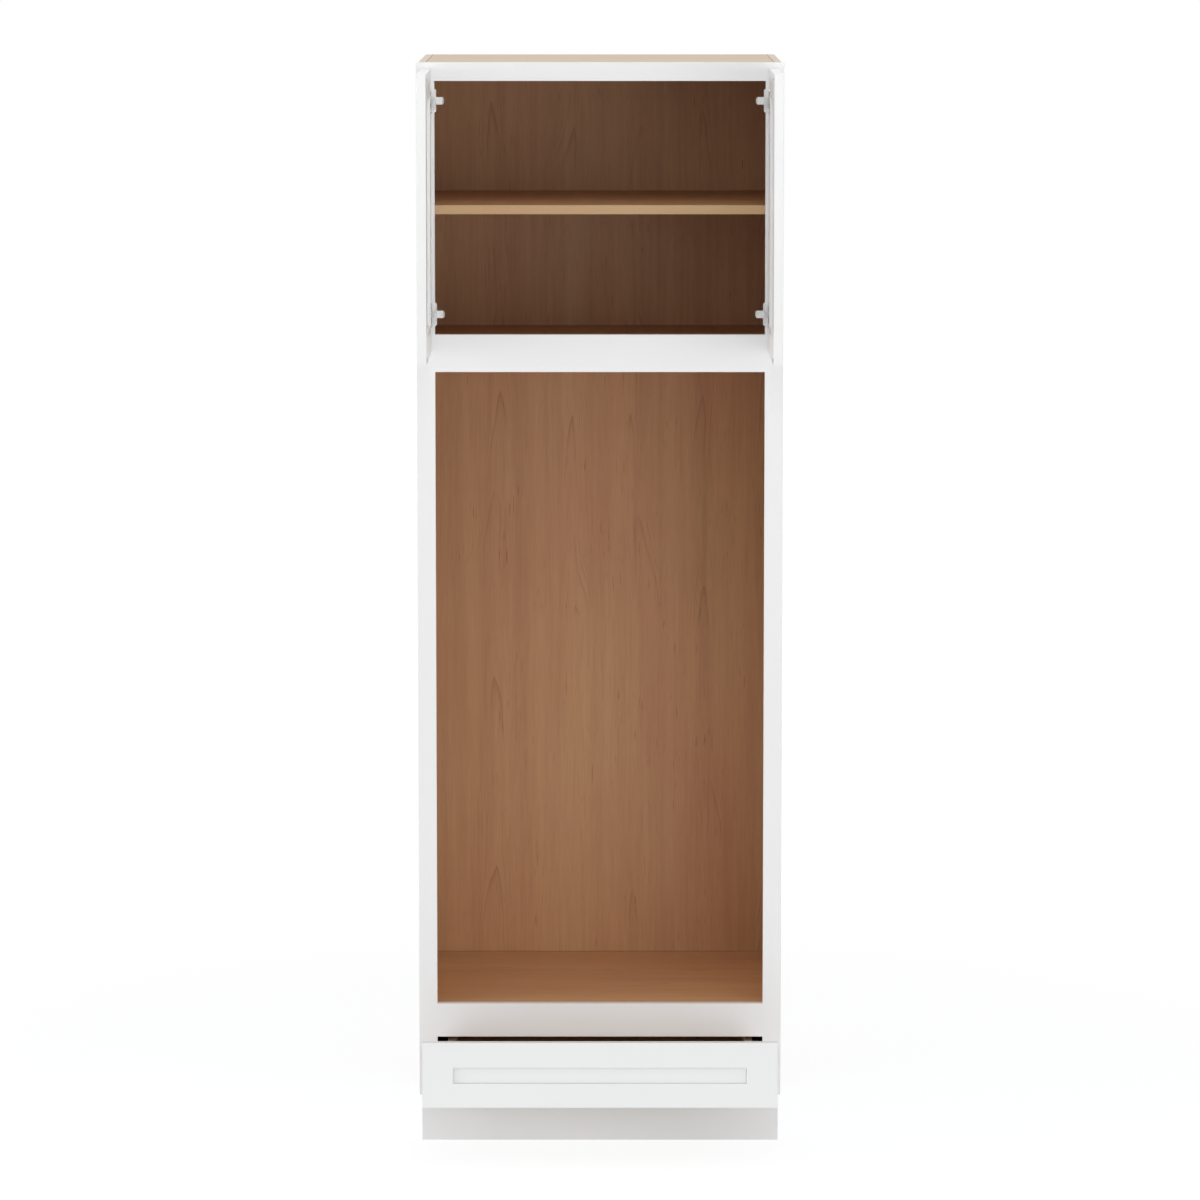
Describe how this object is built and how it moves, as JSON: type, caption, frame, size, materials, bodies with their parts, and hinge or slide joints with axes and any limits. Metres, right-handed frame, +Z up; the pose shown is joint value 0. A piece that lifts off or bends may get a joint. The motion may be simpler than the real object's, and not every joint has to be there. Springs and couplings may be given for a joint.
{
  "type": "double oven cabinet",
  "caption": "Tall kitchen cabinet with a face frame, an open cavity for built-in double ovens, a shaker-door cupboard above it and a drawer on undermount slides below.",
  "frame": {"origin": "centre of the back panel's outer face at floor level", "axes": "+X to the right seen from the room, +Y towards the wall, +Z up"},
  "size_m": [0.762, 0.979, 2.286],
  "materials": {
    "paint": "satin white paint",
    "maple": "clear-coated natural maple",
    "raw_top": "bare plywood",
    "zinc": "bright nickel or zinc plate",
    "slide_steel": "galvanised sheet steel",
    "nylon": "moulded nylon",
    "bumper": "soft clear bumper"
  },
  "bodies": {
    "cabinet": {"side_panel_left": "paint", "side_panel_right": "paint", "top_panel": "raw_top", "back_panel": "maple", "upper_deck": "maple", "oven_deck": "maple", "bottom_panel": "maple", "toe_kick": "paint", "support_cleats": "maple", "frame_stile_left": "paint", "frame_stile_right": "paint", "frame_top_rail": "paint", "frame_middle_rail": "paint", "frame_oven_rail": "paint", "frame_bottom_rail": "paint", "adjustable_shelf": "maple", "shelf_pins": "zinc", "hinge_plates": "zinc", "hinge_arms": "zinc", "hinge_plate_screws": "zinc", "hinge_arm_screws": "zinc", "slide_rails": "slide_steel", "slide_rail_screws": "zinc"},
    "door_left": {"door_left_hinge_stile": "paint", "door_left_free_stile": "paint", "door_left_top_rail": "paint", "door_left_bottom_rail": "paint", "door_left_panel": "paint", "door_left_hinge_cups": "zinc", "door_left_hinge_pins": "zinc", "door_left_cup_screws": "zinc", "door_left_bumpers": "bumper"},
    "door_right": {"door_right_hinge_stile": "paint", "door_right_free_stile": "paint", "door_right_top_rail": "paint", "door_right_bottom_rail": "paint", "door_right_panel": "paint", "door_right_hinge_cups": "zinc", "door_right_hinge_pins": "zinc", "door_right_cup_screws": "zinc", "door_right_bumpers": "bumper"},
    "drawer": {"drawer_front_stile_left": "paint", "drawer_front_stile_right": "paint", "drawer_front_top_rail": "paint", "drawer_front_bottom_rail": "paint", "drawer_front_panel": "paint", "drawer_side_left": "maple", "drawer_side_right": "maple", "drawer_box_front": "maple", "drawer_box_back": "maple", "drawer_bottom": "maple", "slide_runners": "slide_steel", "slide_latches": "nylon", "drawer_front_screws": "zinc", "drawer_bumpers": "bumper"},
    "slide_middle_left": {"slide_middle_left": "slide_steel", "slide_shoes_left": "nylon"},
    "slide_middle_right": {"slide_middle_right": "slide_steel", "slide_shoes_right": "nylon"}
  },
  "joints": [
    {"name": "door_left_swing", "type": "hinge", "parent": "cabinet", "child": "door_left", "pos_m": [-0.3588, -0.6218, 1.9809], "axis": [0, 0, -1], "range_deg": [-90, 15]},
    {"name": "door_right_swing", "type": "hinge", "parent": "cabinet", "child": "door_right", "pos_m": [0.3588, -0.6218, 1.9809], "axis": [0, 0, 1], "range_deg": [-90, 15]},
    {"name": "drawer_slide", "type": "slide", "parent": "cabinet", "child": "drawer", "axis": [0, -1, 0], "range_m": [-0.172, 0.349]},
    {"name": "slide_middle_left_travel", "type": "slide", "parent": "cabinet", "child": "slide_middle_left", "axis": [0, -1, 0], "range_m": [-0.086, 0.1745]},
    {"name": "slide_middle_right_travel", "type": "slide", "parent": "cabinet", "child": "slide_middle_right", "axis": [0, -1, 0], "range_m": [-0.086, 0.1745]}
  ],
  "couplings": [
    {"joint": "slide_middle_left_travel", "follows": "drawer_slide", "ratio": 0.5},
    {"joint": "slide_middle_right_travel", "follows": "drawer_slide", "ratio": 0.5}
  ]
}
